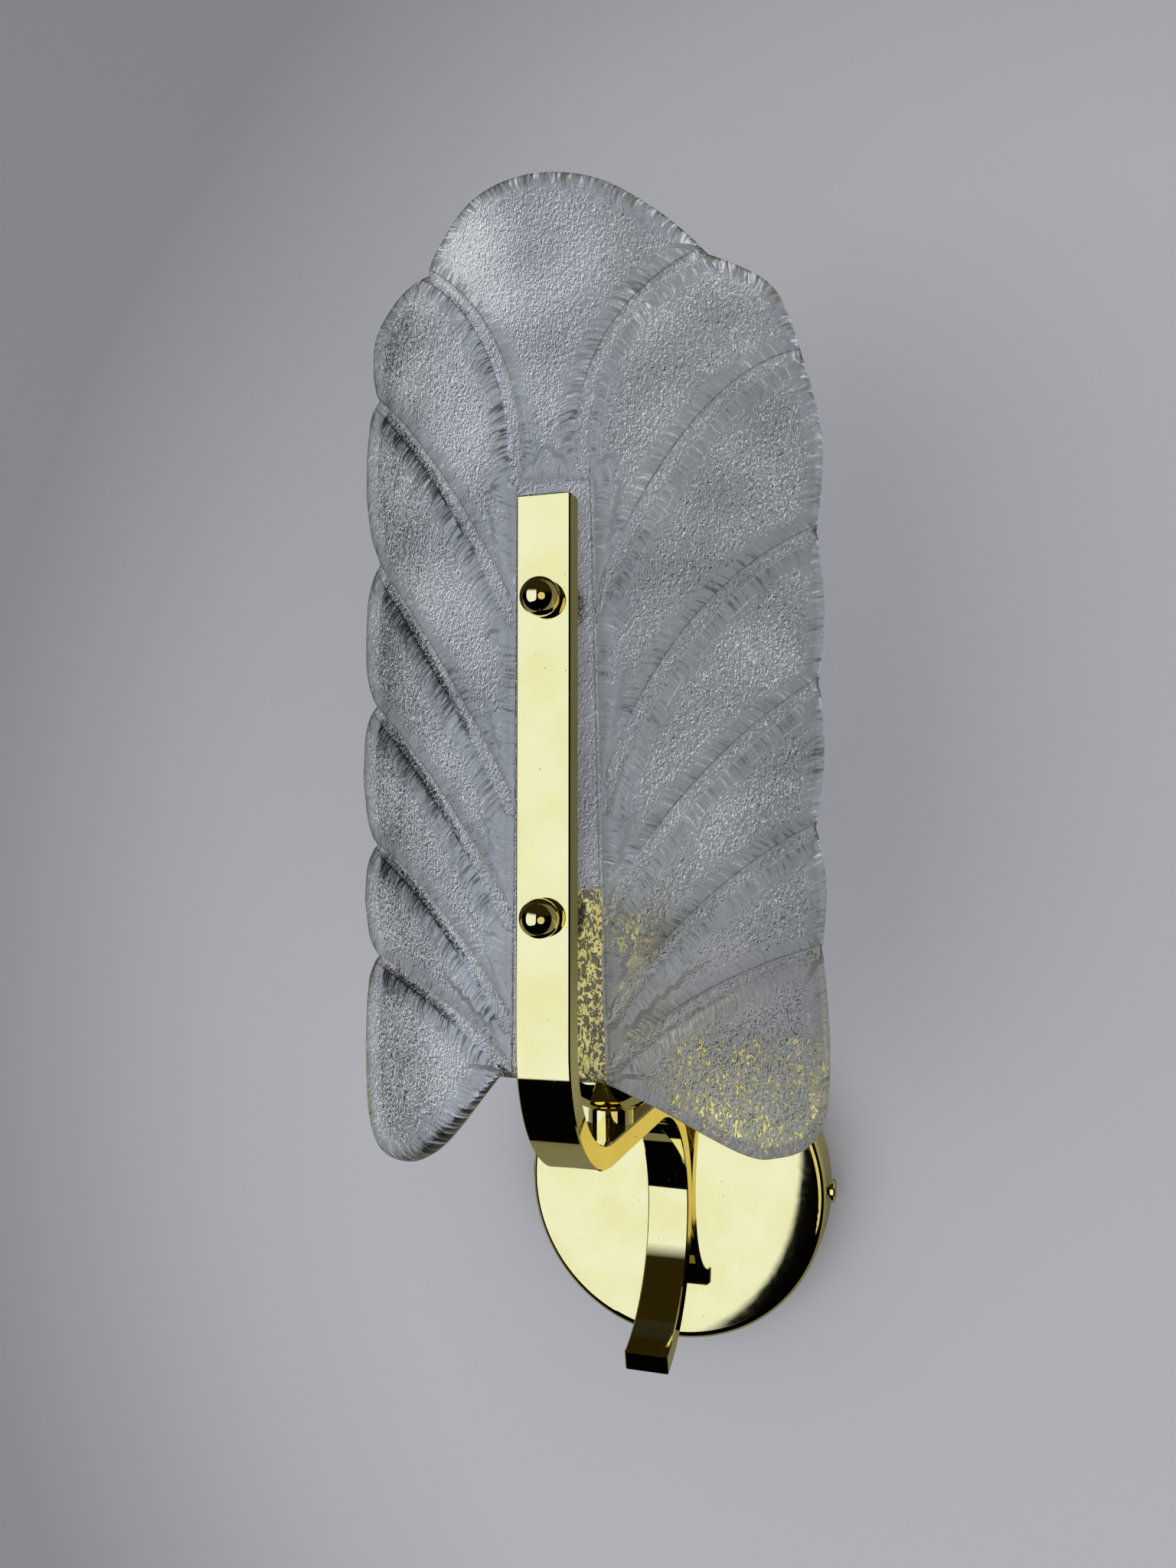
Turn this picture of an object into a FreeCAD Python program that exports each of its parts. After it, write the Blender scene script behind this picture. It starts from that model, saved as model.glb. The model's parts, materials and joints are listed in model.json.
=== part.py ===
# Leaf wall sconce: a cast glass leaf clamped to a bent brass ribbon on a round wall canopy.
# Millimetres. The wall is the plane y = 0, the lamp stands out towards -Y, +X is right and +Z is up.
# The origin is on the wall behind the middle of the canopy.
import FreeCAD
import Part
import math
import os

V = FreeCAD.Vector
X = V(1, 0, 0)
Y = V(0, 1, 0)
Z = V(0, 0, 1)

# Clearances
slide_gap = 0.05
free_gap = 0.3
hole_gap = 0.15
seat_gap = 0.02

# Canopy, a pressed brass cup
canopy_r = 56.0
canopy_depth = 22.0
canopy_wall = 1.2
canopy_edge_r = 3.0
canopy_flat_r = 14.0
canopy_drop = 1.6

# Bent brass ribbon, one flat bar
bar_w = 15.0
bar_t = 7.0
bar_reach = 165.0
bar_top_z = 221.0
bar_edge = 0.4
arm_z = 35.0
front_bend_r = 33.0
rear_bend_r = 39.0
tail_bend_r = 42.0
tail_turn = 77.0
seat_cut = 0.4

# Ribbon fixing inside the canopy
arm_screw_d = 5.0
arm_screw_head_d = 9.0
arm_screw_head_h = 3.2
arm_screw_bite = 4.6
arm_washer_d = 12.0
arm_washer_t = 1.2
arm_pin_d = 3.0
arm_pin_drop = 9.0
arm_pin_bite = 3.0

# Ball knobs and the clamp stack through the leaf
knob_upper_z = 193.0
knob_pitch = 84.0
knob_r = 5.3
knob_sink = 2.6
stud_d = 4.0
stud_in_knob = 5.0
stud_tail = 1.2
gasket_d = 14.0
gasket_t = 2.0
bush_wall = 1.0
bush_short = 0.6
back_washer_d = 12.0
back_washer_t = 1.0
nut_af = 7.0
nut_h = 3.2

# Cast glass leaf, an upright arc cut to a scalloped outline
leaf_r = 104.0
leaf_t = 8.0
leaf_half = 68.0
leaf_notch_z = 64.4
leaf_notch_half = 17.3
leaf_top_z = 313.8
leaf_lobe_z = 40.0
leaf_lobe_x = 53.0
leaf_side_z = 60.0
leaf_lean = 0.0007
channel_half = 14.4
channel_over_bar = 5.0
cusp_z = [292.4, 264.0, 215.0, 172.0, 130.0, 96.0]
cusp_inset = [26.0, 2.0, 1.7, 0.6, 1.3, 1.5]
lobe_rise = [6.0, 2.5, 2.0, 2.0, 2.0, 1.5]
corner_rise = 5.6
foot_rise = 1.4
vein_r = 8.0
vein_depth = 2.4
vein_overrun = 0.15
vein_base_x = [9.0, 15.0, 15.0, 15.0, 15.0, 15.0]
vein_base_z = [228.0, 197.0, 142.0, 110.0, 81.0, 69.0]
vein_bow = [11.4, 8.4, 8.1, 4.5, 4.9, 5.7]

# Lamp socket on the ribbon
socket_back = 102.0
nipple_d = 10.0
nipple_bore = 7.0
nipple_bite = 5.0
nipple_top = 17.0
ring_d = 14.0
ring_h = 5.0
cup_foot_r = 8.0
cup_wall = 1.2
cup_rise = 11.0
cup_lip = 2.5
sleeve_d = 30.0
sleeve_wall = 1.0
sleeve_h = 54.5
holder_d = 25.0
holder_h = 52.0
holder_floor = 3.0
holder_well = 25.0
holder_lift = 8.8
shell_d = 16.0
shell_t = 0.5
shell_h = 21.0
shell_pitch = 2.8
shell_rib = 0.6
tongue_w = 5.0
tongue_t = 0.5
tongue_rise = 4.0

# Lead between canopy and socket
lead_d = 4.4
lead_inside = 3.0
core_d = 2.0
core_reach = 6.0
grommet_d = 9.0
grommet_lip = 1.2
grommet_wall = 1.0

# Terminal block inside the canopy
block_w = 20.0
block_d = 14.0
block_h = 11.0
block_z = 22.0
block_pole = 8.0
block_hole_d = 3.0
block_screw_d = 3.0
block_stud_d = 3.0
block_nut_af = 5.5
block_nut_h = 2.4
block_stud_tail = 0.8

# Wall bracket and the screws that hold the canopy on it
strap_t = 2.0
strap_w = 18.0
strap_gap = 0.8
ear_reach = 15.0
side_screw_y = 9.0
side_screw_d = 4.0
side_screw_head_d = 8.0
side_screw_head_h = 2.0
side_screw_tip = 3.0
side_screw_slot = 1.0
side_screw_edge = 0.5
wall_slot_pitch = 60.0
wall_slot_d = 5.0
wall_slot_len = 10.0
supply_hole_d = 14.0
earth_x = 16.0
earth_d = 4.0
earth_head_d = 7.0
earth_head_h = 2.6
earth_bite = 4.0

# Places worked out from the sizes above
bar_front_y = -bar_reach
bar_back_y = bar_front_y + bar_t
seat_y = -canopy_depth
rear_y = seat_y + seat_cut
bend_y = rear_y - bar_t - rear_bend_r
bend_z = arm_z - rear_bend_r
arm_pin_z = bend_z - arm_pin_drop
arm_top_z = arm_z + bar_t
knob_z = [knob_upper_z, knob_upper_z - knob_pitch]
leaf_front_y = bar_back_y + gasket_t
leaf_sag = leaf_r - math.sqrt(leaf_r ** 2 - channel_half ** 2)
leaf_axis_y = leaf_front_y - leaf_sag + leaf_r
leaf_in_r = leaf_r - leaf_t
leaf_back_y = leaf_axis_y - math.sqrt(leaf_in_r ** 2 - (gasket_d / 2) ** 2) + seat_gap
leaf_mid_z = (leaf_top_z + leaf_lobe_z) / 2
socket_y = -socket_back
ring_top_z = arm_top_z + ring_h
canopy_in_r = canopy_r - canopy_wall
floor_y = seat_y + canopy_wall
lead_z = arm_top_z + lead_d / 2 + seat_gap
dome_span = canopy_r - canopy_edge_r - canopy_flat_r
dome_r = (dome_span ** 2 + canopy_drop ** 2) / (2 * canopy_drop)


def save(name, shape):
    shape.exportStep("parts/" + name + ".step")


def rod(d, length, start, axis):
    return Part.makeCylinder(d / 2, length, start, axis)


def washer(outer_d, hole_d, length, start, axis):
    return rod(outer_d, length, start, axis).cut(rod(hole_d, length, start, axis))


def box(x0, x1, y0, y1, z0, z1):
    return Part.makeBox(x1 - x0, y1 - y0, z1 - z0, V(x0, y0, z0))


def turned(points, axis_point, axis):
    wire = Part.makePolygon(points + [points[0]])
    return Part.Face(wire).revolve(axis_point, axis, 360)


def arc(a, b, c):
    return Part.Arc(a, b, c).toShape()


def line(a, b):
    return Part.LineSegment(a, b).toShape()


def canopy_fall(r):
    # How far the face of the canopy has fallen back at a distance r from its middle
    out = max(r - canopy_flat_r, 0)
    return dome_r - math.sqrt(dome_r ** 2 - out ** 2)


def hex_nut(af, hole_d, height, start):
    # A hexagon nut along Y
    r = af / math.sqrt(3)
    turns = [math.radians(60 * i) for i in range(7)]
    corners = [start + V(r * math.cos(t), 0, r * math.sin(t)) for t in turns]
    nut = Part.Face(Part.makePolygon(corners)).extrude(Y * height)
    return nut.cut(rod(hole_d, height, start, Y))


def on_arc(cy, cz, r, degrees):
    # A point in the plane x = 0, with the angle measured from +Y towards +Z
    t = math.radians(degrees)
    return V(0, cy + r * math.cos(t), cz + r * math.sin(t))


def tube(points, d):
    # A round tube along straight runs joined by tangent arcs as large as the runs allow
    edges = []
    last = points[0]
    for before, here, after in zip(points, points[1:], points[2:]):
        into = (here - before).normalize()
        away = (after - here).normalize()
        half = into.getAngle(away) / 2
        trim = 0.45 * min((here - before).Length, (after - here).Length)
        radius = trim / math.tan(half)
        start = here - into * trim
        end = here + away * trim
        inward = (away - into).normalize()
        middle = here + inward * (radius / math.cos(half) - radius)
        edges.append(line(last, start))
        edges.append(arc(start, middle, end))
        last = end
    edges.append(line(last, points[-1]))
    path = Part.Wire(edges)
    first = points[1] - points[0]
    section = Part.Wire(Part.makeCircle(d / 2, points[0], first))
    return path.makePipeShell([section], True, True)


def make_canopy():
    # The cup is turned about Y: flat middle, gently falling face, rounded edge and straight side
    corner = 1 - math.sqrt(0.5)

    def profile(inset):
        r = canopy_r - inset
        face = seat_y + inset
        shoulder = face + canopy_drop
        edge = canopy_edge_r - inset
        side = shoulder + edge
        bow = (r - edge + canopy_flat_r) / 2
        bow_y = seat_y + dome_r - math.sqrt((dome_r - inset) ** 2 - (bow - canopy_flat_r) ** 2)
        return [
            line(V(0, face, 0), V(canopy_flat_r, face, 0)),
            arc(V(canopy_flat_r, face, 0), V(bow, bow_y, 0), V(r - edge, shoulder, 0)),
            arc(V(r - edge, shoulder, 0), V(r - edge * corner, shoulder + edge * corner, 0), V(r, side, 0)),
            line(V(r, side, 0), V(r, 0, 0)),
        ]
    outer = profile(0)
    inner = profile(canopy_wall)
    rim = line(V(canopy_r, 0, 0), V(canopy_in_r, 0, 0))
    pole = line(V(0, floor_y, 0), V(0, seat_y, 0))
    loop = Part.Wire(Part.__sortEdges__(outer + [rim] + inner + [pole]))
    cup = Part.Face(loop).revolve(V(0, 0, 0), Y, 360)
    front_holes = [
        (arm_screw_d + 2 * hole_gap, bend_z),
        (arm_pin_d + 2 * hole_gap, arm_pin_z),
        (lead_hole_d, lead_z),
    ]
    for hole_d, z in front_holes:
        cup = cup.cut(rod(hole_d, canopy_depth, V(0, seat_y - canopy_wall, z), Y))
    through = rod(side_screw_d + 2 * hole_gap, 4 * canopy_r, V(-2 * canopy_r, -side_screw_y, 0), X)
    return cup.cut(through)


def make_ribbon():
    # Side profile of the bent bar in the plane x = 0, then drawn out across its width
    out_r = front_bend_r + bar_t
    jy = bar_front_y + out_r
    jz = arm_z + out_r
    back_r = rear_bend_r + bar_t
    tail_y = bend_y + rear_bend_r - tail_bend_r
    tail_r = tail_bend_r + bar_t
    edges = [
        line(V(0, bar_front_y, bar_top_z), V(0, bar_front_y, jz)),
        arc(V(0, bar_front_y, jz), on_arc(jy, jz, out_r, 225), V(0, jy, arm_z)),
        line(V(0, jy, arm_z), V(0, bend_y, arm_z)),
        arc(V(0, bend_y, arm_z), on_arc(bend_y, bend_z, rear_bend_r, 45),
            on_arc(bend_y, bend_z, rear_bend_r, 0)),
        arc(on_arc(tail_y, bend_z, tail_bend_r, 0), on_arc(tail_y, bend_z, tail_bend_r, -tail_turn / 2),
            on_arc(tail_y, bend_z, tail_bend_r, -tail_turn)),
        line(on_arc(tail_y, bend_z, tail_bend_r, -tail_turn), on_arc(tail_y, bend_z, tail_r, -tail_turn)),
        arc(on_arc(tail_y, bend_z, tail_r, -tail_turn), on_arc(tail_y, bend_z, tail_r, -tail_turn / 2),
            on_arc(tail_y, bend_z, tail_r, 0)),
        arc(on_arc(bend_y, bend_z, back_r, 0), on_arc(bend_y, bend_z, back_r, 45), V(0, bend_y, arm_top_z)),
        line(V(0, bend_y, arm_top_z), V(0, jy, arm_top_z)),
        arc(V(0, jy, arm_top_z), on_arc(jy, jz, front_bend_r, 225), V(0, bar_back_y, jz)),
        line(V(0, bar_back_y, jz), V(0, bar_back_y, bar_top_z)),
        line(V(0, bar_back_y, bar_top_z), V(0, bar_front_y, bar_top_z)),
    ]
    side = Part.Face(Part.Wire(edges))
    side.translate(V(-bar_w / 2, 0, 0))
    bar = side.extrude(V(bar_w, 0, 0))
    bar = bar.makeChamfer(bar_edge, bar.Edges)
    # Flat seat ground on the back of the rear bend, where the bar lies on the canopy
    bar = bar.cut(box(-bar_w, bar_w, seat_y, 0, bend_z - canopy_r, bend_z + canopy_r))
    for z in knob_z:
        bar = bar.cut(rod(stud_d + 2 * hole_gap, 3 * bar_t, V(0, bar_front_y - bar_t, z), Y))
    bar = bar.cut(rod(nipple_d, nipple_bite, V(0, socket_y, arm_top_z - nipple_bite), Z))
    bar = bar.cut(rod(arm_screw_d, arm_screw_bite, V(0, seat_y - arm_screw_bite, bend_z), Y))
    return bar.cut(rod(arm_pin_d, 2 * arm_pin_bite, V(0, seat_y - arm_pin_bite, arm_pin_z), Y))


def make_leaf():
    # Half outline from the top cusp down to the notch, in x and z
    half = []
    for z, inset in zip(cusp_z, cusp_inset):
        half.append((leaf_half - inset, z))
    half.append((leaf_half, leaf_side_z))
    half.append((leaf_lobe_x, leaf_lobe_z))
    half.append((leaf_notch_half, leaf_notch_z))
    rises = lobe_rise + [corner_rise, foot_rise]

    def place(x, z):
        # The left half of the casting stands a little taller than the right
        return V(x, 0, leaf_mid_z + (z - leaf_mid_z) * (1 - leaf_lean * x))

    def bowed(a, b, rise):
        # A point beside the middle of the straight line from a to b
        dx = b[0] - a[0]
        dz = b[1] - a[1]
        length = math.hypot(dx, dz)
        return (a[0] + b[0]) / 2 - dz / length * rise, (a[1] + b[1]) / 2 + dx / length * rise

    def lobe(a, b, rise, side):
        mx, mz = bowed(a, b, rise)
        return arc(place(side * a[0], a[1]), place(side * mx, mz), place(side * b[0], b[1]))

    def vein(base, tip, bow, side):
        # Round bar whose underside cuts the groove between two panels, run on past the cusp
        mid = bowed(base, tip, bow)
        end = [t + (t - m) * vein_overrun for t, m in zip(tip, mid)]
        path_r = leaf_r + vein_r - vein_depth
        points = []
        for x, z in (base, mid, end):
            turn = math.asin(side * x / (leaf_r - leaf_t / 2))
            height = place(side * x, z).z
            points.append(V(path_r * math.sin(turn), leaf_axis_y - path_r * math.cos(turn), height))
        path = arc(*points)
        section = Part.makeCircle(vein_r, points[0], path.tangentAt(path.FirstParameter))
        return Part.Wire(path).makePipeShell([Part.Wire(section)], True, True)

    edges = [arc(place(-half[0][0], half[0][1]), place(0, leaf_top_z), place(*half[0]))]
    for side in (1, -1):
        for a, b, rise in zip(half, half[1:], rises):
            edges.append(lobe(a, b, rise, side))
    edges.append(line(place(leaf_notch_half, leaf_notch_z), place(-leaf_notch_half, leaf_notch_z)))
    blank = Part.Face(Part.Wire(Part.__sortEdges__(edges)))
    blank.translate(V(0, leaf_axis_y - leaf_r - leaf_t, 0))
    blank = blank.extrude(V(0, leaf_r, 0))
    height = leaf_top_z - leaf_lobe_z
    foot = V(0, leaf_axis_y, leaf_lobe_z - height / 2)
    bent = washer(2 * leaf_r, 2 * leaf_in_r, 2 * height, foot, Z)
    glass = bent.common(blank)
    # Plain flat channel that the bar lies over
    channel_top = bar_top_z + channel_over_bar
    glass = glass.cut(box(-leaf_half, leaf_half, leaf_front_y - leaf_t, leaf_front_y, foot.z, channel_top))
    for side in (1, -1):
        for base_x, base_z, tip, bow in zip(vein_base_x, vein_base_z, half, vein_bow):
            glass = glass.cut(vein((base_x, base_z), tip, bow, side))
    for z in knob_z:
        glass = glass.cut(rod(bush_d + 2 * hole_gap, 3 * leaf_t, V(0, leaf_front_y - leaf_t, z), Y))
    return glass


def make_knob(z):
    # A ball ground flat on the bar, tapped from the flat side
    ball = Part.makeSphere(knob_r, V(0, bar_front_y - knob_sink, z))
    ball = ball.cut(box(-knob_r, knob_r, bar_front_y, bar_front_y + knob_r, z - knob_r, z + knob_r))
    return ball.cut(rod(stud_d + 2 * slide_gap, stud_in_knob, V(0, bar_front_y - stud_in_knob, z), Y))


def make_cup():
    # Bowl that stands on the ring, with a ledge that carries the sleeve
    hole = nipple_d / 2 + hole_gap
    lip_r = sleeve_d / 2 + hole_gap + cup_wall
    ledge_r = sleeve_d / 2 - sleeve_wall
    z0 = ring_top_z
    bowl_mid = V(lip_r - (lip_r - cup_foot_r) * 0.35, 0, z0 + cup_rise * 0.35)
    inner_mid = V(bowl_mid.x - cup_wall, 0, bowl_mid.z + cup_wall)
    edges = [
        line(V(hole, 0, z0), V(cup_foot_r, 0, z0)),
        arc(V(cup_foot_r, 0, z0), bowl_mid, V(lip_r, 0, z0 + cup_rise)),
        line(V(lip_r, 0, z0 + cup_rise), V(lip_r, 0, ledge_z + cup_lip)),
        line(V(lip_r, 0, ledge_z + cup_lip), V(lip_r - cup_wall, 0, ledge_z + cup_lip)),
        line(V(lip_r - cup_wall, 0, ledge_z + cup_lip), V(lip_r - cup_wall, 0, ledge_z)),
        line(V(lip_r - cup_wall, 0, ledge_z), V(ledge_r, 0, ledge_z)),
        arc(V(ledge_r, 0, ledge_z), inner_mid, V(cup_foot_r, 0, z0 + cup_wall)),
        line(V(cup_foot_r, 0, z0 + cup_wall), V(hole, 0, z0 + cup_wall)),
        line(V(hole, 0, z0 + cup_wall), V(hole, 0, z0)),
    ]
    cup = Part.Face(Part.Wire(edges)).revolve(V(0, 0, 0), Z, 360)
    cup.translate(V(0, socket_y, 0))
    return cup


def make_holder():
    # Moulded lamp holder: cable room below, floor, and the well that takes the lamp cap
    body = rod(holder_d, holder_h, V(0, socket_y, holder_z), Z)
    body = body.cut(rod(nipple_d, holder_h, V(0, socket_y, holder_z - holder_floor), Z))
    plug = rod(nipple_d, holder_floor, V(0, socket_y, well_z - holder_floor), Z)
    body = body.fuse(plug).removeSplitter()
    return body.cut(rod(shell_d + 2 * seat_gap, holder_well, V(0, socket_y, well_z), Z))


def make_shell():
    # Thin screw shell with rolled ribs at the thread pitch
    r = shell_d / 2
    turns = int(shell_h / shell_pitch - 1)
    points = [V(r, 0, 0)]
    for i in range(turns):
        points.append(V(r, 0, shell_pitch * (i + 0.25)))
        points.append(V(r - shell_rib, 0, shell_pitch * (i + 0.75)))
    points.append(V(r, 0, shell_pitch * (turns + 0.25)))
    points.append(V(r, 0, shell_h))
    inside = [V(p.x - shell_t, 0, p.z) for p in reversed(points)]
    shell = turned(points + inside, V(0, 0, 0), Z)
    shell.translate(V(0, socket_y, well_z))
    return shell


def make_tongue():
    # Sprung middle contact, a strip that rises from the floor of the well
    r = shell_d / 2 - shell_t - shell_rib - free_gap
    strip = [
        V(0, -r, 0),
        V(0, -r, tongue_t),
        V(0, -r / 2, tongue_t),
        V(0, r / 2, tongue_rise),
        V(0, r / 2, tongue_rise - tongue_t),
        V(0, -r / 2 + tongue_t, 0),
    ]
    tongue = Part.Face(Part.makePolygon(strip + [strip[0]])).extrude(V(tongue_w, 0, 0))
    tongue.translate(V(-tongue_w / 2, socket_y, well_z))
    return tongue


def make_grommet():
    # Flanged insulating ring snapped into the canopy, with a lip over each face of the sheet
    bore_r = lead_d / 2 + seat_gap
    neck_r = lead_hole_d / 2 - seat_gap
    lip_r = grommet_d / 2
    points = [
        V(bore_r, grommet_front_y - grommet_lip, 0),
        V(lip_r, grommet_front_y - grommet_lip, 0),
        V(lip_r, grommet_front_y, 0),
        V(neck_r, grommet_front_y, 0),
        V(neck_r, grommet_back_y, 0),
        V(lip_r, grommet_back_y, 0),
        V(lip_r, grommet_back_y + grommet_lip, 0),
        V(bore_r, grommet_back_y + grommet_lip, 0),
    ]
    ring = turned(points, V(0, 0, 0), Y)
    ring.translate(V(0, 0, lead_z))
    return ring


def make_bracket():
    # Strap against the wall with an ear bent forward at each end
    strap = box(-ear_x, ear_x, -strap_t, 0, -strap_w / 2, strap_w / 2)
    for side in (-1, 1):
        inner = side * (ear_x - strap_t)
        outer = side * ear_x
        ear = box(min(inner, outer), max(inner, outer), -ear_reach, 0, -strap_w / 2, strap_w / 2)
        strap = strap.fuse(ear)
    strap = strap.removeSplitter()
    tapped = rod(side_screw_d + 2 * slide_gap, 2 * canopy_r, V(-canopy_r, -side_screw_y, 0), X)
    strap = strap.cut(tapped)
    strap = strap.cut(rod(supply_hole_d, 3 * strap_t, V(0, -2 * strap_t, 0), Y))
    strap = strap.cut(rod(earth_d, 3 * strap_t, V(earth_x, -2 * strap_t, 0), Y))
    run = (wall_slot_len - wall_slot_d) / 2
    half_slot = wall_slot_d / 2
    for middle in (-wall_slot_pitch / 2, wall_slot_pitch / 2):
        for x in (middle - run, middle + run):
            strap = strap.cut(rod(wall_slot_d, 3 * strap_t, V(x, -2 * strap_t, 0), Y))
        strap = strap.cut(box(middle - run, middle + run, -2 * strap_t, strap_t, -half_slot, half_slot))
    return strap


def make_side_screw(side):
    # Round headed screw through the side of the canopy into an ear of the bracket
    head_x = canopy_r + free_gap
    tip_x = ear_x - strap_t - side_screw_tip
    y = -side_screw_y
    head = rod(side_screw_head_d, side_screw_head_h, V(side * head_x, y, 0), X * side)
    rims = [edge for edge in head.Edges if edge.Curve.TypeId == "Part::GeomCircle"]
    head = head.makeChamfer(side_screw_edge, rims)
    shank = rod(side_screw_d, head_x - tip_x, V(side * tip_x, y, 0), X * side)
    screw = head.fuse(shank).removeSplitter()
    out_x = head_x + side_screw_head_h
    half = side_screw_slot / 2
    deep_x = out_x - side_screw_slot
    slot = box(-out_x, out_x, y - half, y + half, -side_screw_head_d, side_screw_head_d)
    core = box(-deep_x, deep_x, y - half, y + half, -side_screw_head_d, side_screw_head_d)
    return screw.cut(slot.cut(core))


def make_block():
    # Two pole terminal block on the canopy floor, wire holes upright and screws facing the wall
    half_w = block_w / 2
    low_z = block_z - block_d / 2
    block = box(-half_w, half_w, block_y, block_y + block_h, low_z, low_z + block_d)
    for x in pole_x:
        block = block.cut(rod(block_hole_d, block_d, V(x, core_y, low_z), Z))
        for z in screw_row:
            block = block.cut(rod(block_screw_d, block_h, V(x, core_y, z), Y))
    return block.cut(rod(block_stud_d, block_h, V(0, block_y, block_z), Y))


# Places that only the small pieces need
bush_d = stud_d + 2 * hole_gap + 2 * bush_wall
washer_y = leaf_back_y + gasket_t
nut_y = washer_y + back_washer_t
stud_end_y = nut_y + nut_h + stud_tail
ledge_z = ring_top_z + cup_rise + free_gap
holder_z = ring_top_z + cup_wall + holder_lift
well_z = holder_z + holder_h - holder_well
lead_hole_d = lead_d + 2 * grommet_wall
grommet_front_y = seat_y + canopy_fall(lead_z - grommet_d / 2) - seat_gap
grommet_back_y = floor_y + canopy_fall(lead_z + grommet_d / 2) + seat_gap
ear_x = math.sqrt(canopy_in_r ** 2 - (strap_w / 2) ** 2) - strap_gap
block_y = floor_y + canopy_fall(math.hypot(block_w / 2, block_z + block_d / 2)) + seat_gap
core_y = block_y + block_h / 2
pole_x = [-block_pole / 2, block_pole / 2]
screw_row = [block_z - block_d / 4, block_z + block_d / 4]

os.makedirs("parts", exist_ok=True)

save("canopy", make_canopy())
save("ribbon_arm", make_ribbon())
save("glass_leaf", make_leaf())

# Ribbon fixing
screw_head_y = floor_y + arm_washer_t
arm_shank = rod(arm_screw_d, screw_head_y - seat_y + arm_screw_bite, V(0, seat_y - arm_screw_bite, bend_z), Y)
arm_head = rod(arm_screw_head_d, arm_screw_head_h, V(0, screw_head_y, bend_z), Y)
save("arm_screw", arm_shank.fuse(arm_head).removeSplitter())
arm_hole_d = arm_screw_d + 2 * hole_gap
save("arm_washer", washer(arm_washer_d, arm_hole_d, arm_washer_t, V(0, floor_y, bend_z), Y))
pin_start = V(0, seat_y - arm_pin_bite, arm_pin_z)
save("arm_pin", rod(arm_pin_d, arm_pin_bite + canopy_wall + arm_washer_t, pin_start, Y))

# Knobs and clamp stack, one of each at both knob heights
save("knob_upper", make_knob(knob_z[0]))
save("knob_lower", make_knob(knob_z[1]))
stud_start_y = bar_front_y - stud_in_knob + free_gap
stud_len = stud_end_y - stud_start_y
save("knob_studs", Part.makeCompound([rod(stud_d, stud_len, V(0, stud_start_y, z), Y) for z in knob_z]))
gasket_hole = bush_d + 2 * hole_gap
front = [washer(gasket_d, gasket_hole, gasket_t, V(0, bar_back_y, z), Y) for z in knob_z]
save("front_gaskets", Part.makeCompound(front))
bush_len = washer_y - bar_back_y - bush_short
bushes = [washer(bush_d, stud_d + 2 * hole_gap, bush_len, V(0, bar_back_y, z), Y) for z in knob_z]
save("leaf_bushes", Part.makeCompound(bushes))
rear = [washer(gasket_d, gasket_hole, gasket_t, V(0, leaf_back_y, z), Y) for z in knob_z]
save("rear_gaskets", Part.makeCompound(rear))
backs = [washer(back_washer_d, stud_d + 2 * hole_gap, back_washer_t, V(0, washer_y, z), Y) for z in knob_z]
save("back_washers", Part.makeCompound(backs))
nuts = [hex_nut(nut_af, stud_d, nut_h, V(0, nut_y, z)) for z in knob_z]
save("back_nuts", Part.makeCompound(nuts))

# Lamp socket
nipple_start = V(0, socket_y, arm_top_z - nipple_bite)
nipple_len = nipple_bite + ring_h + nipple_top
lead_way = rod(lead_d + 2 * hole_gap, ring_d, V(0, socket_y, lead_z), Y)
save("socket_nipple", washer(nipple_d, nipple_bore, nipple_len, nipple_start, Z).cut(lead_way))
save("socket_ring", washer(ring_d, nipple_d, ring_h, V(0, socket_y, arm_top_z), Z).cut(lead_way))
save("socket_cup", make_cup())
sleeve_bore = sleeve_d - 2 * sleeve_wall
save("socket_sleeve", washer(sleeve_d, sleeve_bore, sleeve_h, V(0, socket_y, ledge_z), Z))
save("lamp_holder", make_holder())
save("holder_shell", make_shell())
save("holder_tongue", make_tongue())

# Lead from the terminal block through the canopy and along the top of the ribbon into the ring
lead_end_y = socket_y + nipple_bore / 2
lead_start_y = grommet_back_y + grommet_lip + lead_inside
save("lamp_lead", rod(lead_d, lead_start_y - lead_end_y, V(0, lead_end_y, lead_z), Y))
cores = []
for x in pole_x:
    side = math.copysign(core_d / 2 + seat_gap, x)
    route = [
        V(side, lead_start_y, lead_z),
        V(side, lead_start_y + core_reach, lead_z),
        V(x, core_y, lead_z - core_reach),
        V(x, core_y, block_z),
    ]
    cores.append(tube(route, core_d))
save("lead_cores", Part.makeCompound(cores))
save("lead_grommet", make_grommet())

# Terminal block
save("terminal_block", make_block())
screws = []
for x in pole_x:
    for z in screw_row:
        start_y = core_y + core_d / 2 + seat_gap
        screws.append(rod(block_screw_d, block_y + block_h - start_y, V(x, start_y, z), Y))
save("terminal_screws", Part.makeCompound(screws))
block_top_y = block_y + block_h
stud_base_y = floor_y + canopy_fall(block_z + block_stud_d / 2) + seat_gap
block_stud_len = block_top_y + block_nut_h + block_stud_tail - stud_base_y
save("terminal_stud", rod(block_stud_d, block_stud_len, V(0, stud_base_y, block_z), Y))
save("terminal_nut", hex_nut(block_nut_af, block_stud_d, block_nut_h, V(0, block_top_y, block_z)))

# Wall bracket
save("wall_bracket", make_bracket())
save("side_screw_left", make_side_screw(-1))
save("side_screw_right", make_side_screw(1))
earth_shank = rod(earth_d, strap_t + earth_bite, V(earth_x, -strap_t - earth_bite, 0), Y)
earth_head = rod(earth_head_d, earth_head_h, V(earth_x, -strap_t - earth_bite - earth_head_h, 0), Y)
save("earth_screw", earth_shank.fuse(earth_head).removeSplitter())
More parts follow.
